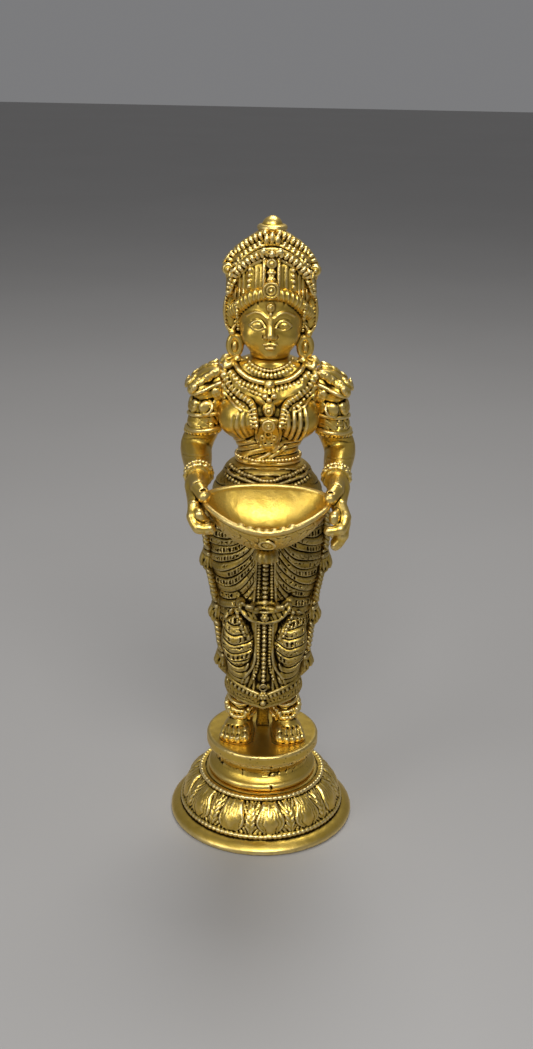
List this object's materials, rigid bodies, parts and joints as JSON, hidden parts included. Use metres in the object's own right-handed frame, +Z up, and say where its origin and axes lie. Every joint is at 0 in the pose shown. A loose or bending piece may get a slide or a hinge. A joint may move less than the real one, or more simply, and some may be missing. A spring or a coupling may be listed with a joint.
{
  "type": "standing oil lamp",
  "caption": "Cast brass lamp bearer in a draped skirt and tall crown, standing on a round lotus base and holding a leaf-shaped oil bowl in front with both hands.",
  "frame": {"origin": "on the lotus base's axis, at the plane of the resting ring", "axes": "+Z up; the bearer faces -Y, so the bowl is at -Y; the bearer's right side is at -X"},
  "size_m": [0.093, 0.1073, 0.3005],
  "materials": {
    "brass": "polished high spots, dark antique patina in the recesses",
    "steel": "plain bright rod"
  },
  "bodies": {
    "root": {"lotus_base": "brass", "neck_collar": "brass", "plinth": "brass", "tie_rod": "steel", "tie_washer": "steel", "tie_nut": "steel", "leg_rods": "steel", "support_post": "brass", "right_foot": "brass", "left_foot": "brass", "skirt": "brass", "right_sash": "brass", "left_sash": "brass", "waist_dowel": "steel", "torso": "brass", "arm_dowels": "steel", "right_arm": "brass", "left_arm": "brass", "wrist_dowels": "steel", "right_hand": "brass", "left_hand": "brass", "lamp_bowl": "brass", "bowl_foot": "brass", "neck_dowel": "steel", "head": "brass", "crown": "brass", "crown_finial": "brass"}
  },
  "joints": []
}
